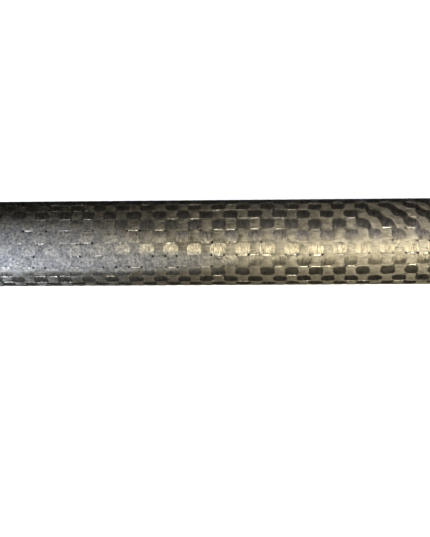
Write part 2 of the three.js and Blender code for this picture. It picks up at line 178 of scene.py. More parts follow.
VIEW_ELEVATION = math.radians(57)
VIEW_AZIMUTH = math.radians(8.6)
LENS = 100
SENSOR = 36  # millimetres across the picture's long side
SEEN_HEIGHT = 0.1595  # of the picture's long side, at the handle
SHAFT_ABOVE_CENTRE = 0.0077
SHAFT_RISE = math.radians(0.35)  # the handle rises to the right by this much in the picture

WARM = (1.0, 0.87, 0.6)
COOL = (0.78, 0.86, 1.0)
LILAC = (0.86, 0.8, 1)
NEUTRAL = (0.88, 0.94, 1.0)
STUDIO_GREY = (0.035, 0.035, 0.035)

# Lights on the middle of the handle: degrees to the right of the camera and under it, distance,
# how far along from the tube's middle they aim, size, watts, colour and degrees of spread.
MIDDLE_LIGHTS = {
    "key": (7, 21, 0.7, 0.06, (0.16, 0.12), 0.29, WARM, 30),
    "rim": (9, -13, 0.7, 0.075, (0.12, 0.12), 0.015, LILAC, 16),
    "window": (-30, 52, 0.9, -0.11, (0.08, 0.12), 0.2, COOL, 12),
    "sky": (-16, -33, 2.2, 0.0, (2.0, 1.6), 3.3, NEUTRAL, 180),
}
END_LIGHT_SHARES = (0.12, 0.88)  # of the tube's length, where the lights over its ends aim
END_LIGHT_HEIGHT = 0.9

FLOOR_HALF = 12  # half of its side
FLOOR_GAP = 0.0002  # under the broom


def row_turn(row):
    """The turn from the top of the tube to a place counted in rows of tows."""
    crowding = ROW_SPREAD * np.sin(math.pi * (row - WIDEST_ROW) / CROWDING_SPAN)
    return CELL_AROUND * (row + crowding) + WEAVE_TURN


def tube_point(along, turn):
    """A point on the tube's surface, in the handle's own frame."""
    x = TUBE_START + TUBE_LENGTH / 2 + along
    return (x, TUBE_RADIUS * math.sin(turn), TUBE_RADIUS * math.cos(turn))


# ---- Node graphs ----


class Graph:
    """A material's node tree with short calls for its nodes. A value is a number or a socket."""

    def __init__(self, name):
        self.material = bpy.data.materials.new(name)
        self.material.use_nodes = True
        self.tree = self.material.node_tree
        self.tree.nodes.clear()

    def put(self, socket, value):
        if isinstance(value, bpy.types.NodeSocket):
            self.tree.links.new(value, socket)
        elif socket.type == "RGBA" and len(value) == 3:
            socket.default_value = (*value, 1)
        else:
            socket.default_value = value

    def node(self, kind, inputs=None, **settings):
        made = self.tree.nodes.new(kind)
        for key, value in settings.items():
            setattr(made, key, value)
        for key, value in (inputs or {}).items():
            self.put(made.inputs[key], value)
        return made

    def math(self, operation, a, b=0.0, c=0.0):
        return self.node("ShaderNodeMath", {0: a, 1: b, 2: c}, operation=operation).outputs[0]

    def add(self, a, b):
        return self.math("ADD", a, b)

    def times(self, a, b):
        return self.math("MULTIPLY", a, b)

    def times_add(self, a, b, c):
        return self.math("MULTIPLY_ADD", a, b, c)

    def wave(self, operation, cells):
        """The sine or cosine of pi times cells."""
        return self.math(operation, self.times(cells, math.pi))

    def ramp(self, value, low, high, start=0.0, end=1.0, kind="SMOOTHSTEP"):
        """Goes from start to end as value goes from low to high."""
        ends = {"From Min": low, "From Max": high, "To Min": start, "To Max": end}
        return self.node(
            "ShaderNodeMapRange", {"Value": value, **ends}, interpolation_type=kind
        ).outputs["Result"]

    def mix(self, amount, a, b):
        """A number from a to b."""
        return self.node("ShaderNodeMix", {0: amount, 2: a, 3: b}).outputs[0]

    def blend(self, amount, a, b, how="MIX"):
        """A colour from a to b."""
        made = self.node("ShaderNodeMix", data_type="RGBA", blend_type=how)
        self.put(made.inputs[0], amount)
        self.put(made.inputs[6], a)
        self.put(made.inputs[7], b)
        return made.outputs[2]

    def place(self):
        return self.node("ShaderNodeTexCoord").outputs["Object"]

    def stretched(self, vector, factors):
        return self.node(
            "ShaderNodeVectorMath", {0: vector, 1: factors}, operation="MULTIPLY"
        ).outputs[0]

    def split(self, vector):
        return self.node("ShaderNodeSeparateXYZ", {0: vector}).outputs

    def vector(self, x, y, z=0.0):
        return self.node("ShaderNodeCombineXYZ", {0: x, 1: y, 2: z}).outputs[0]

    def noise(self, vector, scale, detail=2.0, roughness=0.5, output="Fac"):
        made = self.node(
            "ShaderNodeTexNoise",
            {"Vector": vector, "Scale": scale, "Detail": detail, "Roughness": roughness},
        )
        return made.outputs[output]

    def random(self, vector):
        """A number from 0 to 1 for each whole-numbered place."""
        return self.node("ShaderNodeTexWhiteNoise", {"Vector": vector}).outputs["Value"]

    def bump(self, height, normal=None):
        """The shading normal of a height in metres."""
        inputs = {"Height": height, "Distance": 1.0, "Strength": 1.0}
        if normal is not None:
            inputs["Normal"] = normal
        return self.node("ShaderNodeBump", inputs).outputs[0]

    def surface(self, **inputs):
        """Ends the graph in one Principled shader. Names use _ for spaces."""
        shader = self.node("ShaderNodeBsdfPrincipled")
        for key, value in inputs.items():
            self.put(shader.inputs[key.replace("_", " ")], value)
        output = self.node("ShaderNodeOutputMaterial")
        self.tree.links.new(shader.outputs[0], output.inputs[0])
        return self.material


# ---- Materials ----


def tow_edges(g, u, v):
    """Heights of the fine ridges of resin where some tows along the tube meet the next row."""
    line = g.math("ROUND", v)
    off_line = g.math("ABSOLUTE", g.math("SUBTRACT", v, line))
    cell = g.math("FLOOR", u)
    middle = g.math("ABSOLUTE", g.add(g.math("SUBTRACT", u, cell), -0.5))
    chosen = g.ramp(g.random(g.vector(cell, line)), 0.66, 0.71)
    length = g.ramp(middle, 0.45, 0.3)
    ridge = g.ramp(off_line, RIDGE_HALF_WIDTH, 0.0)
    return g.times(g.times(ridge, chosen), g.times(length, RIDGE_HEIGHT))


def pinholes(g, u, v):
    """One where a small void is left between four tows."""
    column, line = g.math("ROUND", u), g.math("ROUND", v)
    du, dv = g.math("SUBTRACT", u, column), g.math("SUBTRACT", v, line)
    away = g.math("SQRT", g.times_add(du, du, g.times(dv, dv)))
    chosen = g.ramp(g.random(g.vector(column, line, 7.0)), 0.6, 0.65)
    return g.times(g.ramp(away, PINHOLE_RADIUS, PINHOLE_RADIUS * 0.4), chosen)


def patch(g, place, mark, ragged=0.0):
    """From one in the middle of a mark on the tube to zero at its edge."""
    along, turn, length, width = mark
    squeeze = (width / length, 1, 1)
    centre = [a * b for a, b in zip(squeeze, tube_point(along, turn))]
    away = g.node(
        "ShaderNodeVectorMath", {0: g.stretched(place, squeeze), 1: centre}, operation="DISTANCE"
    ).outputs["Value"]
    away = g.times_add(g.add(g.noise(place, 260, detail=3), -0.5), ragged * width, away)
    return g.ramp(away, width, width * 0.45)


def hoop_tows(g, place, u, v):
    """One where a tow round the tube is on top, in lens shapes, and zero on the tows along it."""
    across_row = g.math("ABSOLUTE", g.wave("SINE", v))
    over = g.times(g.wave("SINE", u), g.wave("SINE", v))
    lens = g.times_add(across_row, 0.6, g.add(over, -0.3))
    lean = g.times(g.wave("COSINE", u), g.wave("COSINE", v))
    weave = g.times_add(lean, g.times(patch(g, place, ASKEW_MARK), -0.5), lens)
    ragged = g.times_add(g.add(g.noise(place, 1500, detail=3), -0.5), 0.5, weave)
    return g.ramp(ragged, -0.17, 0.07)


def wear(g, place):
    """One where the tube is scuffed dull, less where it is lightly worn, and zero elsewhere. There the carbon also
    takes a painted cool tint, standing in for cool reflected light.
    """
    worn = g.ramp(g.noise(place, 14, detail=3), 0.62, 0.85, 0.0, 0.7)
    for mark in (SCUFF_MARK, RUBBED_MARK):
        worn = g.math("MAXIMUM", patch(g, place, mark, ragged=0.5), worn)
    return worn


def carbon_weave():
    """Plain-weave carbon: tows round the tube pass over and under tows along it.

    Fibres shine across their own direction, so the two sets of tows catch the lights differently.
    """
    g = Graph("carbon_weave")
    place = g.place()
    along, around, _ = g.split(g.node("ShaderNodeUVMap", uv_map="weave").outputs[0])
    drift = g.split(g.noise(place, 40, detail=1, output="Color"))
    u = g.times_add(g.add(drift[0], -0.5), 0.9, along)
    v = g.times_add(g.add(drift[1], -0.5), 0.35, around)
    hoop = hoop_tows(g, place, u, v)
    scuff_and_painted_tint = wear(g, place)

    filaments = g.noise(g.stretched(place, (1, 6, 6)), 500, detail=4, roughness=0.65)
    strands = g.noise(g.stretched(place, (6, 1, 1)), 500, detail=4, roughness=0.65)
    speckle = g.noise(place, 1200, detail=4, roughness=0.75)
    grain = g.mix(g.times(scuff_and_painted_tint, 0.8), g.mix(hoop, filaments, strands), speckle)
    ridge = tow_edges(g, u, v)
    hole = pinholes(g, u, v)

    fibres = g.times_add(g.add(grain, -0.5), g.mix(scuff_and_painted_tint, 1.6, 1.0), 0.5)
    mottle = g.times_add(g.add(speckle, -0.5), g.mix(scuff_and_painted_tint, 0.9, 0.75), fibres)
    tone = g.ramp(mottle, 0.2, 0.8, 0.3, 1.8, kind="LINEAR")
    color = g.blend(hoop, AXIAL_TOW, HOOP_TOW)
    # Where scuffed, the colour turns dull grey with a painted cool tint that stands in for cool reflected light.
    color = g.blend(g.times(scuff_and_painted_tint, 0.84), color, SCUFF_GREY_AND_PAINTED_COOL_TINT)
    color = g.blend(1.0, color, g.vector(tone, tone, tone), how="MULTIPLY")
    glint = g.times(g.times(ridge, 1 / RIDGE_HEIGHT), g.ramp(speckle, 0.4, 0.7))
    color = g.blend(glint, color, RESIN_GLINT)
    color = g.blend(hole, color, PINHOLE)
    height = g.times_add(grain, g.mix(scuff_and_painted_tint, 0.00003, 0.00005), g.times_add(speckle, 0.00002, ridge))
    normal = g.bump(height)
    fibre_turn = g.ramp(hoop, 0.35, 0.65, 0.25, 0.0)
    return g.surface(
        Base_Color=color,
        Metallic=1.0,
        Roughness=g.mix(scuff_and_painted_tint, g.mix(hoop, 0.5, 0.70), 0.78),
        Anisotropic=g.mix(scuff_and_painted_tint, 0.85, 0.1),
        Anisotropic_Rotation=g.times_add(g.add(grain, -0.5), 0.12, fibre_turn),
        Tangent=g.node("ShaderNodeTangent", direction_type="UV_MAP", uv_map="weave").outputs[0],
        Normal=normal,
        Specular_Tint=(0.3, 0.3, 0.3),
        Coat_Weight=0.06,
        Coat_Roughness=0.4,
        Coat_Normal=normal,
    )


def moulded_nylon():
    """Glass-filled nylon: fine spark-eroded grain, faint flow marks and a few pale scratches."""
    g = Graph("moulded_nylon")
    place = g.place()
    grain = g.noise(place, 2600, detail=3, roughness=0.6)
    flow = g.noise(g.stretched(place, (1, 0.3, 1)), 45, detail=3)
    scratch = g.noise(g.stretched(place, (9, 1, 4)), 260, detail=5, roughness=0.75)
    scratched = g.times(g.ramp(scratch, 0.66, 0.72), g.ramp(flow, 0.5, 0.7))
    color = g.blend(flow, (0.018, 0.0185, 0.02), (0.034, 0.035, 0.038))
    color = g.blend(g.times(scratched, 0.6), color, (0.11, 0.11, 0.115))
    height = g.times_add(grain, 0.00004, g.times(scratched, -0.00002))
    return g.surface(
        Base_Color=color,
        Roughness=g.ramp(g.add(flow, g.times(grain, 0.4)), 0.4, 1.0, 0.38, 0.6),
        Normal=g.bump(height),
    )


def soft_rubber():
    """Matt black rubber, dusty where it is handled."""
    g = Graph("soft_rubber")
    place = g.place()
    grain = g.noise(place, 1800, detail=4, roughness=0.65)
    dust = g.ramp(g.noise(place, 130, detail=5, roughness=0.65), 0.5, 0.75)
    color = g.blend(grain, (0.010, 0.010, 0.0105), (0.022, 0.022, 0.023))
    color = g.blend(g.times(dust, 0.5), color, (0.085, 0.083, 0.08))
    return g.surface(
        Base_Color=color,
        Roughness=g.ramp(dust, 0, 1, 0.55, 0.85),
        Normal=g.bump(g.times(grain, 0.00005)),
    )


def machined(name, dark, light, rough_low, rough_high):
    """A turned or pressed metal: fine tool marks, handling haze and faint staining."""
    g = Graph(name)
    place = g.place()
    marks = g.noise(g.stretched(place, (1, 1, 14)), 900, detail=4, roughness=0.7)
    stain = g.noise(place, 220, detail=4, roughness=0.6)
    color = g.blend(g.ramp(stain, 0.3, 0.7), dark, light)
    haze = g.times_add(marks, 0.5, g.times(stain, 0.5))
    return g.surface(
        Base_Color=color,
        Metallic=1.0,
        Roughness=g.ramp(haze, 0.3, 0.7, rough_low, rough_high),
        Normal=g.bump(g.times(marks, 0.000012)),
    )


def white_acetal():
    """Slippery white plastic, yellowed and darker where it wears."""
    g = Graph("white_acetal")
    place = g.place()
    wear = g.noise(place, 300, detail=5, roughness=0.7)
    color = g.blend(g.ramp(wear, 0.35, 0.7), (0.72, 0.70, 0.63), (0.5, 0.48, 0.42))
    return g.surface(
        Base_Color=color,
        Roughness=g.ramp(wear, 0.3, 0.7, 0.3, 0.5),
        Normal=g.bump(g.times(wear, 0.00002)),
    )


def open_foam():
    """Dark foam with a skin of small open bubbles, each painted darker in its hollow as painted shade."""
    g = Graph("open_foam")
    cells = g.node(
        "ShaderNodeTexVoronoi", {"Vector": g.place(), "Scale": 1400.0}, feature="SMOOTH_F1"
    ).outputs["Distance"]
    # Painted shade: the colour follows the bubbles' depth, darkest at the bottom of each hollow.
    color = g.blend(cells, (0.03, 0.032, 0.036), (0.09, 0.094, 0.10))
    return g.surface(Base_Color=color, Roughness=0.95, Normal=g.bump(g.times(cells, 0.0003)))


def yarns(g, across, along, pitch):
    """The height of a plain weave of round yarns, from 0 to 1, on two directions in a plane."""
    u, v = g.times(across, 1 / pitch), g.times(along, 1 / pitch)
    over = g.times(g.wave("SINE", u), g.wave("SINE", v))
    warp = g.times(g.math("ABSOLUTE", g.wave("SINE", u)), g.ramp(over, -0.3, 0.3))
    weft = g.times(g.math("ABSOLUTE", g.wave("SINE", v)), g.ramp(over, 0.3, -0.3))
    return g.add(warp, weft)


def woven_cloth(name, dark, light, pitch, roughness, sheen):
    """Plain-woven cloth, its yarns laid in the plane that each part of it faces, with painted shade in the gaps
    between yarns and painted light on their crowns.
    """
    g = Graph(name)
    place = g.place()
    x, y, z = g.split(place)
    facing = g.node("ShaderNodeTexCoord").outputs["Normal"]
    facing = g.split(g.node("ShaderNodeVectorMath", {0: facing}, operation="ABSOLUTE").outputs[0])
    flat = g.ramp(facing[2], 0.6, 0.8)
    ends = g.ramp(g.math("SUBTRACT", facing[1], facing[0]), -0.1, 0.1)
    side = g.mix(ends, yarns(g, y, z, pitch), yarns(g, x, z, pitch))
    weave = g.mix(flat, side, yarns(g, x, y, pitch))
    fuzz = g.noise(place, 3500, detail=3, roughness=0.7)
    faded = g.noise(place, 60, detail=4, roughness=0.6)
    # Painted shade and light: the yarn height makes the gaps between yarns darker and their crowns lighter; the
    # fuzz and the fading are random tone.
    tone = g.times_add(weave, 0.6, g.times_add(fuzz, 0.4, g.times_add(faded, 0.7, -0.35)))
    return g.surface(
        Base_Color=g.blend(g.ramp(tone, 0.2, 1.1), dark, light),
        Roughness=roughness,
        Sheen_Weight=sheen,
        Sheen_Roughness=0.5,
        Normal=g.bump(g.times_add(weave, pitch * 0.22, g.times(fuzz, 0.00002))),
    )


# ---- Pieces ----


def add_piece(name, vertices, faces, material, body, matrix=None):
    """A mesh that rides on a body. A matrix places it where it isn't made in the row frame."""
    mesh = bpy.data.meshes.new(name)
    mesh.from_pydata(vertices, [], faces)
    mesh.materials.append(material)
    piece = bpy.data.objects.new(name, mesh)
    bpy.context.scene.collection.objects.link(piece)
    if matrix is not None:
        piece.matrix_world = matrix
    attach(piece, body)
    return piece


def swept(rings, joined=False):
    """Vertices and quads between rings of points. Joined, the last ring meets the first."""
    count = len(rings[0])
    vertices = [tuple(point) for ring in rings for point in ring]
    faces = []
    spans = len(rings) if joined else len(rings) - 1
    for i in range(spans):
        k = (i + 1) % len(rings)
        for j in range(count):
            n = (j + 1) % count
            faces.append((i * count + j, i * count + n, k * count + n, k * count + j))
    return vertices, faces


def end_faces(vertices, count):
    """The faces that close the first and the last ring of a swept form."""
    first = tuple(reversed(range(count)))
    last = tuple(range(len(vertices) - count, len(vertices)))
    return [first, last]


def shade_smooth(piece, count=None):
    """Shades a piece smoothly, or only its first faces where a count is given."""
    smooth = np.zeros(len(piece.data.polygons), bool)
    smooth[:count] = True
    piece.data.polygons.foreach_set("use_smooth", smooth)
    piece.data.update()


def tube_ring(x, radius):
    """Points round the tube at a place along it, on the edges of its tows and between them."""
    turn = row_turn(np.arange(TUBE_ROWS) / STEPS_AROUND)
    return np.column_stack((np.full(TUBE_ROWS, x), radius * np.sin(turn), radius * np.cos(turn)))


def add_weave_map(tube):
    """Counts the weave's cells along the tube and round it, as a UV map on its outside."""
    column, row = np.divmod(np.arange(TUBE_COLUMNS * TUBE_ROWS), TUBE_ROWS)
    uv = np.zeros((len(tube.data.loops), 2), np.float32)
    quads = uv[: 4 * len(column)].reshape(-1, 4, 2)
    quads[..., 0] = (column[:, None] + np.array([0, 0, 1, 1])) / STEPS_ALONG
    quads[..., 1] = (row[:, None] + np.array([0, 1, 1, 0])) / STEPS_AROUND
    tube.data.uv_layers.new(name="weave").data.foreach_set("uv", uv.ravel())


def woven_tube():
    """The tube, its outside raised into the crowns of the tows and its bore plain."""
    across_tow = np.sin(math.pi * np.arange(TUBE_ROWS) / STEPS_AROUND)
    rings = []
    for column in range(TUBE_COLUMNS + 1):
        along_tow = math.sin(math.pi * column / STEPS_ALONG)
        crown = np.sqrt(np.abs(along_tow * across_tow))
        x = TUBE_START + TUBE_LENGTH * column / TUBE_COLUMNS
        rings.append(tube_ring(x, TUBE_RADIUS - CROWN_HEIGHT * (1 - crown)))
    for x in (TUBE_START + TUBE_LENGTH, TUBE_START):
        rings.append(tube_ring(x, TUBE_RADIUS - TUBE_WALL))
    vertices, faces = swept(rings, joined=True)
    tube = add_piece("tube", vertices, faces, MATERIALS["carbon"], "handle", HANDLE)
    add_weave_map(tube)
    shade_smooth(tube, TUBE_COLUMNS * TUBE_ROWS)
    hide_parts("shaft_tube")


def cap_profile():
    """The butt cap's section as points along the handle and out from its axis."""
    end = TUBE_START + TUBE_LENGTH
    mouth = end - CAP_SLEEVE
    tip = end + CAP_TIP
    floor = end + CAP_CLEARANCE
    bore = TUBE_RADIUS + CAP_CLEARANCE
    points = [(floor, CAP_CENTRE), (floor, bore), (mouth + CAP_LIP, bore)]
    points += [(mouth, bore + CAP_LIP / 2), (mouth, CAP_RADIUS - CAP_LIP)]
    for x in np.arange(mouth + CAP_LIP, tip - CAP_ROUNDING, CAP_STEP):
        groove = (x - mouth - FIRST_GROOVE) / GROOVE_SPACING
        depth = 0.0
        if -0.5 < groove < CAP_GROOVES - 0.5:
            depth = GROOVE_DEPTH * max(0.0, math.cos(2 * math.pi * groove)) ** 0.5
        points.append((x, CAP_RADIUS - depth))
    for angle in np.linspace(0, math.pi / 2, 13):
        x = tip - CAP_ROUNDING * (1 - math.sin(angle))
        points.append((x, CAP_RADIUS - CAP_ROUNDING * (1 - math.cos(angle))))
    for share in np.linspace(1, 0, 8)[1:]:
        depth = DIMPLE_DEPTH * math.cos(math.pi / 2 * share)
        points.append((tip - depth, max(DIMPLE_RADIUS * share, CAP_CENTRE)))
    return points


def butt_cap():
    """The rubber cap, turned round the handle's axis."""
    steps = np.linspace(0, 2 * math.pi, CAP_COLUMNS, endpoint=False)
    rings = [[(x, r * math.sin(a), r * math.cos(a)) for a in steps] for x, r in cap_profile()]
    vertices, faces = swept(rings)
    faces += end_faces(vertices, CAP_COLUMNS)
    cap = add_piece("cap", vertices, faces, MATERIALS["rubber"], "handle", HANDLE)
    shade_smooth(cap)
    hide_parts("butt_cap")


def pad_outline(count):
    """Points evenly spaced round the pad in plan, and the outward direction at each.

    The outline goes along side 0, which faces +X, round the corner after it, and so on.
    """
    half_x = (PAD_HIGH.x - PAD_LOW.x) / 2 - PAD_CORNER
    half_y = (PAD_HIGH.y - PAD_LOW.y) / 2 - PAD_CORNER
    centres = [(half_x, half_y), (-half_x, half_y), (-half_x, -half_y), (half_x, -half_y)]
    arc = math.pi / 2 * PAD_CORNER
    whole = 4 * (half_x + half_y + arc)
    points, outward = [], []
    for step in range(count):
        left = whole * step / count
        for side in range(4):
            straight = 2 * (half_y if side % 2 == 0 else half_x)
            if left < straight:
                angle, centre, ahead = side * math.pi / 2, centres[side - 1], left
                break
            left -= straight
            if left < arc:
                angle, centre, ahead = side * math.pi / 2 + left / PAD_CORNER, centres[side], 0.0
                break
            left -= arc
        out = np.array((math.cos(angle), math.sin(angle)))
        points.append(np.array(centre) + out * PAD_CORNER + np.array((-out[1], out[0])) * ahead)
        outward.append(out)
    return np.array(points), np.array(outward)


def cover_section():
    """Insets and heights from under the pad, round its lower edge and up to its hem."""
    section = [(inset, 0.0) for inset in FLAT_INSETS]
    for angle in np.linspace(0, math.pi / 2, 6):
        section.append((PAD_EDGE * (1 - math.sin(angle)), PAD_EDGE * (1 - math.cos(angle))))
    for height in np.linspace(PAD_EDGE, PAD_HIGH.z - HEM_DROP, SIDE_ROWS)[1:]:
        section.append((0.0, height))
    return section


def swell(mesh, pinned):
    """Runs a mesh as slack cloth under pressure, and gives where its vertices come to rest."""
    scene = bpy.context.scene
    cloth = bpy.data.objects.new("cloth", mesh)
    scene.collection.objects.link(cloth)
    group = cloth.vertex_groups.new(name="pinned")
    group.add([int(i) for i in pinned], 1.0, "REPLACE")
    settings = cloth.modifiers.new("cloth", "CLOTH").settings
    settings.vertex_group_mass = "pinned"
    settings.use_pressure = True
    settings.uniform_pressure_force = COVER_PRESSURE
    settings.effector_weights.gravity = 0
    settings.shrink_min = -COVER_SLACK
    settings.quality = 8
    for number in range(1, COVER_FRAMES + 1):
        scene.frame_set(number)
    rested = cloth.evaluated_get(bpy.context.evaluated_depsgraph_get())
    places = np.empty(len(rested.data.vertices) * 3)
    rested.data.vertices.foreach_get("co", places)
    bpy.data.objects.remove(cloth)
    scene.frame_set(1)
    return places.reshape(-1, 3)


def relaxed(rows):
    """The cover's rows as slack cloth leaves them, held at the hem and on the sweeping face."""
    start = rows.reshape(-1, 3)
    vertices, faces = swept(rows)
    mesh = bpy.data.meshes.new("cloth")
    mesh.from_pydata(vertices, [], faces)
    flat = np.arange(FLAT_ROWS * PAD_COLUMNS)
    hem = np.arange(len(start) - HEM_ROWS * PAD_COLUMNS, len(start))
    moved = swell(mesh, np.concatenate((flat, hem))) - start
    size = np.linalg.norm(moved, axis=1, keepdims=True)
    moved *= np.minimum(1, COVER_BULGE / np.maximum(size, 1e-9))
    rested = start + moved
    rested[:, 2] = np.clip(rested[:, 2], 0, PAD_HIGH.z)
    return rested.reshape(rows.shape)


def pad_cover_rows():
    """The sewn cover's outside surface, as rows of points from under the pad up to its hem."""
    points, outward = pad_outline(PAD_COLUMNS)
    direction = np.arctan2(outward[:, 1], outward[:, 0])
    in_corner = np.abs(np.sin(direction * 2))  # zero along the straight sides
    gather = in_corner**0.5 * (in_corner > 0.05) * np.cos(direction * 4 * PLEATS)
    section = cover_section()
    rows = np.empty((len(section), PAD_COLUMNS, 3))
    for row, (inset, height) in zip(rows, section):
        room = PLEAT_DEPTH if height > 0 else 0  # keeps the gathers inside the CAD box
        drawn = PLEAT_DEPTH * (height / PAD_HIGH.z) ** 1.5 * gather
        row[:, :2] = points - outward * (inset + room + drawn)[:, None]
        row[:, 2] = height
    return relaxed(rows)


def refined(rows):
    """Twice as many rows and columns, on smooth curves through the given points."""

    def between(a, b, c, d):
        return (9 * (b + c) - a - d) / 16

    padded = np.concatenate((rows[:1], rows, rows[-1:]))
    middles = between(padded[:-3], padded[1:-2], padded[2:-1], padded[3:])
    taller = np.empty((2 * len(rows) - 1, *rows.shape[1:]))
    taller[0::2], taller[1::2] = rows, middles
    turned = [np.roll(taller, -shift, axis=1) for shift in (-1, 0, 1, 2)]
    wider = np.empty((len(taller), 2 * rows.shape[1], 3))
    wider[:, 0::2], wider[:, 1::2] = taller, between(*turned)
    return wider


def pad_cover(rows):
    """The cover with its thickness, flat underneath and open under the head plate."""
    fine = refined(rows)
    vertices, faces = swept(fine)
    faces.append(end_faces(vertices, fine.shape[1])[0])
    cover = add_piece("cover", vertices, faces, MATERIALS["fabric"], "head")
    shade_smooth(cover)
    shell = cover.modifiers.new("thickness", "SOLIDIFY")
    shell.thickness = COVER_THICKNESS
    shell.offset = -1
    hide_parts("pad_cover")


def foam_section():
    """Insets and heights of the foam block's outline, from under it to its top."""
    low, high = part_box("pad_foam")
    section = []
    for angle in np.linspace(0, math.pi / 2, 5):
        inset = FOAM_INSET + FOAM_ROUNDING * (1 - math.sin(angle))
        section.append((inset, low.z + FOAM_ROUNDING * (1 - math.cos(angle))))
    section += [(FOAM_INSET, (low.z + high.z) / 2), (FOAM_INSET, high.z - FOAM_BEVEL)]
    section.append((FOAM_INSET + FOAM_BEVEL, high.z))
    return section


def pad_foam():
    """The foam block, rounded along its edges where the cover presses it."""
    points, outward = pad_outline(PAD_COLUMNS // 2)
    rings = []
    for inset, z in foam_section():
        rings.append(np.column_stack((points - outward * inset, np.full(len(points), z))))
    vertices, faces = swept(rings)
    faces += end_faces(vertices, len(points))
    foam = add_piece("foam_block", vertices, faces, MATERIALS["foam"], "head")
    shade_smooth(foam)
    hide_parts("pad_foam")


def hem_binding(rows):
    """Tape folded over the cover's upper edge, all the way round."""
    edge = rows[-1]
    _, outward = pad_outline(PAD_COLUMNS)
    rings = []
    for angle in np.linspace(0, 2 * math.pi, TAPE_SIDES, endpoint=False):
        out = TAPE_BULK * math.cos(angle) - COVER_THICKNESS / 2
        up = TAPE_WIDTH / 2 * (math.sin(angle) - 1) + TAPE_RISE
        rings.append(edge + np.column_stack((outward * out, np.full(len(edge), up))))
    vertices, faces = swept(rings, joined=True)
    tape = add_piece("hem_tape", vertices, faces, MATERIALS["tape"], "head")
    shade_smooth(tape)


def stitch(start, ahead, out):
    """The rings of one thread that comes out of the cloth, arches over it and goes back in."""
    up = np.cross(ahead, out) / STITCH_LENGTH
    turn = np.linspace(0, 2 * math.pi, STITCH_SIDES, endpoint=False)
    rings = []
    for share in (0.0, 0.15, 0.5, 0.85, 1.0):
        arch = math.sin(math.pi * share)
        centre = start + ahead * share + out * (STITCH_RADIUS * (0.2 + arch))
        radius = STITCH_RADIUS * (0.4 + 0.6 * arch)
        rings.append([centre + radius * (out * math.cos(a) + up * math.sin(a)) for a in turn])
    return rings


def stitches(rows):
    """A row of thread stitches round the cover, just under its hem."""
    line = (rows[-4] + rows[-3]) / 2
    _, outward = pad_outline(PAD_COLUMNS)
    vertices, faces = [], []
    for column in range(0, PAD_COLUMNS, STITCH_COLUMNS):
        ahead = line[(column + 1) % PAD_COLUMNS] - line[column]
        ahead = ahead / np.linalg.norm(ahead) * STITCH_LENGTH
        points, quads = swept(stitch(line[column], ahead, np.array((*outward[column], 0.0))))
        quads += end_faces(points, STITCH_SIDES)
        base = len(vertices)
        vertices += points
        faces += [tuple(base + i for i in face) for face in quads]
    thread = add_piece("stitches", vertices, faces, MATERIALS["thread"], "head")
    shade_smooth(thread)


def smoothing_group():
    """Geometry nodes that shade smoothly across gentle edges and keep the sharp ones."""
    group = bpy.data.node_groups.new("smooth_gentle_edges", "GeometryNodeTree")
    group.interface.new_socket("Geometry", in_out="INPUT", socket_type="NodeSocketGeometry")
    group.interface.new_socket("Geometry", in_out="OUTPUT", socket_type="NodeSocketGeometry")
    source = group.nodes.new("NodeGroupInput")
    result = group.nodes.new("NodeGroupOutput")
    angle = group.nodes.new("GeometryNodeInputMeshEdgeAngle")
    gentle = group.nodes.new("FunctionNodeCompare")
    gentle.operation = "LESS_EQUAL"
    gentle.inputs[1].default_value = GENTLE_EDGE
    faces = group.nodes.new("GeometryNodeSetShadeSmooth")
    edges = group.nodes.new("GeometryNodeSetShadeSmooth")
    edges.domain = "EDGE"
    group.links.new(source.outputs[0], faces.inputs["Geometry"])
    group.links.new(faces.outputs[0], edges.inputs["Geometry"])
    group.links.new(angle.outputs["Unsigned Angle"], gentle.inputs[0])
    group.links.new(gentle.outputs[0], edges.inputs["Shade Smooth"])
    group.links.new(edges.outputs[0], result.inputs[0])
    return group


def finish_cad_part(node, slot, smoothing):
    """Gives a CAD piece its material, rounded edges and smooth shading."""
    node.data.materials.clear()
    node.data.materials.append(MATERIALS[slot])
    node.modifiers.new("weld", "WELD").merge_threshold = WELD_DISTANCE
    merged = node.modifiers.new("flat faces", "DECIMATE")
    merged.decimate_type = "DISSOLVE"
    merged.angle_limit = FLAT_TURN
    bevel = node.modifiers.new("rounded edges", "BEVEL")
    bevel.width = EDGE_ROUNDING[slot]
    bevel.segments = 2
    bevel.limit_method = "ANGLE"
    bevel.angle_limit = GENTLE_EDGE
    node.modifiers.new("smooth", "NODES").node_group = smoothing


# ---- Camera, lights and stage ----


def towards_camera():
    """The direction from the handle to the camera."""
    side = math.cos(VIEW_ELEVATION)
    x = math.sin(VIEW_AZIMUTH) * side
    y = -math.cos(VIEW_AZIMUTH) * side
    return Vector((x, y, math.sin(VIEW_ELEVATION)))


def camera_axes():
    """The picture's right, up and backward directions."""
    back = towards_camera()
    along = (SHAFT_AXIS - back * SHAFT_AXIS.dot(back)).normalized()
    right = Matrix.Rotation(-SHAFT_RISE, 3, back) @ along
    return right, back.cross(right), back


def add_camera():
    """Looks closely at the middle of the handle, at the photograph's angle."""
    right, up, back = camera_axes()
    distance = SEEN_HEIGHT * LENS / SENSOR
    target = TUBE_MIDDLE - up * SHAFT_ABOVE_CENTRE
    data = bpy.data.cameras.new("camera")
    data.lens = LENS
    data.sensor_width = SENSOR
    camera = bpy.data.objects.new("camera", data)
    bpy.context.scene.collection.objects.link(camera)
    turned = Matrix((right, up, back)).transposed().to_4x4()
    camera.matrix_world = Matrix.Translation(target + back * distance) @ turned
    bpy.context.scene.camera = camera


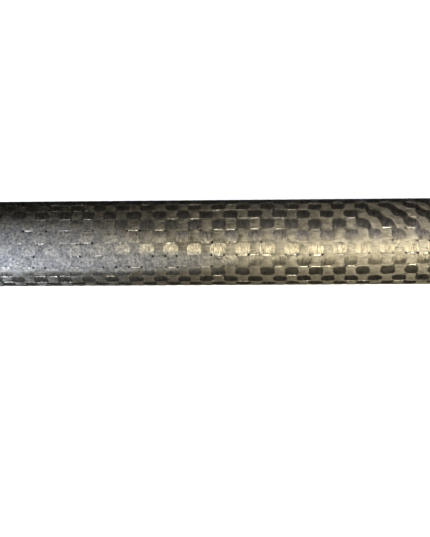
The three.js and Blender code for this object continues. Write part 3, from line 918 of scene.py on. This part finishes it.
def area_light(name, place, target, size, power, color, spread):
    """A soft light that faces a target. With less spread it stays nearer to the target."""
    data = bpy.data.lights.new(name, "AREA")
    data.shape = "RECTANGLE"
    data.size, data.size_y = size
    data.energy = power
    data.color = color
    data.spread = math.radians(spread)
    light = bpy.data.objects.new(name, data)
    bpy.context.scene.collection.objects.link(light)
    light.location = place
    light.rotation_mode = "QUATERNION"
    light.rotation_quaternion = (Vector(place) - Vector(target)).to_track_quat("Z", "Y")
    light.visible_camera = False
    return light


def near_camera(across, below, distance):
    """A place that, from the handle's middle, is degrees right of the camera and under it."""
    right, up, back = camera_axes()
    swing = Matrix.Rotation(math.radians(across), 3, up) @ back
    return TUBE_MIDDLE + Matrix.Rotation(math.radians(below), 3, right) @ swing * distance


def light_handle():
    """Lights the handle, mostly the part of it that the camera sees.

    The key makes the warm shine on the right, the rim a faint one over it, and the window the cool
    shine low on the left. The sky fills in above.
    """
    for name, settings in MIDDLE_LIGHTS.items():
        across, below, distance, along, size, power, color, spread = settings
        place = near_camera(across, below, distance)
        area_light(name, place, TUBE_MIDDLE + SHAFT_AXIS * along, size, power, color, spread)
    for share in END_LIGHT_SHARES:
        spot = TUBE_LOW.lerp(TUBE_HIGH, share)
        spot.y = 0
        place = spot + Vector((0, 0, END_LIGHT_HEIGHT))
        name = f"handle_{round(share * 100)}"
        area_light(name, place, spot, size=(0.2, 0.4), power=0.35, color=NEUTRAL, spread=34)


def light_head():
    """Lights all but the tube, where these lights would wash out the part that the camera sees."""
    low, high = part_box("head_plate")
    head = (low + high) / 2
    wide = {"size": (0.5, 0.5), "power": 1.1, "color": NEUTRAL, "spread": 60}
    lights = [area_light("head_top", head + Vector((0, 0, 1)), head, **wide)]
    narrow = {"size": (0.3, 0.3), "power": 0.8, "color": NEUTRAL, "spread": 50}
    for side in (-1, 1):
        place = head + Vector((-0.45, side * 0.7, 0.45))
        lights.append(area_light(f"head_side_{side + 1}", place, head, **narrow))
    lit = bpy.data.collections.new("lit by the head's lights")
    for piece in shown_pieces():
        if piece.name != "tube":
            lit.objects.link(piece)
    for light in lights:
        light.light_linking.receiver_collection = lit


def add_world():
    """Pale behind the scene, and dim where shiny parts would mirror it, like a dark studio."""
    world = bpy.data.worlds.new("studio")
    bpy.context.scene.world = world
    world.use_nodes = True
    tree = world.node_tree
    tree.nodes.clear()
    path = tree.nodes.new("ShaderNodeLightPath")
    seen = tree.nodes.new("ShaderNodeBackground")
    seen.inputs["Color"].default_value = (1, 1, 1, 1)
    lighting = tree.nodes.new("ShaderNodeBackground")
    lighting.inputs["Color"].default_value = (*STUDIO_GREY, 1)
    mixed = tree.nodes.new("ShaderNodeMixShader")
    output = tree.nodes.new("ShaderNodeOutputWorld")
    tree.links.new(path.outputs["Is Camera Ray"], mixed.inputs[0])
    tree.links.new(lighting.outputs[0], mixed.inputs[1])
    tree.links.new(seen.outputs[0], mixed.inputs[2])
    tree.links.new(mixed.outputs[0], output.inputs[0])


def add_floor():
    """A pale floor that glows too much to show a shadow, and that shiny parts do not mirror."""
    material = Graph("floor").surface(
        Base_Color=(0.5, 0.5, 0.5),
        Roughness=0.9,
        Emission_Color=(1, 1, 1),
        Emission_Strength=1.0,
    )
    mesh = bpy.data.meshes.new("floor")
    around = [(FLOOR_HALF * x, FLOOR_HALF * y, 0) for x, y in ((-1, -1), (1, -1), (1, 1), (-1, 1))]
    mesh.from_pydata(around, [], [(0, 1, 2, 3)])
    mesh.materials.append(material)
    floor = bpy.data.objects.new("floor", mesh)
    bpy.context.scene.collection.objects.link(floor)
    floor.location.z = -FLOOR_GAP
    floor.visible_glossy = False


MATERIALS = {
    "carbon": carbon_weave(),
    "rubber": soft_rubber(),
    "nylon": moulded_nylon(),
    "acetal": white_acetal(),
    "steel": machined("stainless_steel", (0.42, 0.42, 0.41), (0.66, 0.66, 0.65), 0.2, 0.42),
    "brass": machined("brass", (0.42, 0.27, 0.09), (0.72, 0.50, 0.20), 0.22, 0.42),
    "foam": open_foam(),
    "fabric": woven_cloth("nylon_cloth", (0.006, 0.03, 0.13), (0.03, 0.13, 0.46), 0.00045, 0.62, 0.35),
    "tape": woven_cloth("hem_tape", (0.006, 0.006, 0.007), (0.035, 0.036, 0.04), 0.0003, 0.75, 0.25),
    "thread": woven_cloth("thread", (0.45, 0.45, 0.42), (0.85, 0.85, 0.8), 0.00012, 0.6, 0.3),
}

smoothing = smoothing_group()
for part in frame["record"]["subparts"]:
    finish_cad_part(frame["nodes"][part["node"]], part["material_slot"], smoothing)

woven_tube()
butt_cap()
cover_rows = pad_cover_rows()
pad_cover(cover_rows)
pad_foam()
hem_binding(cover_rows)
stitches(cover_rows)

add_camera()
light_handle()
light_head()
add_world()
add_floor()
bpy.context.scene.view_settings.view_transform = "Standard"
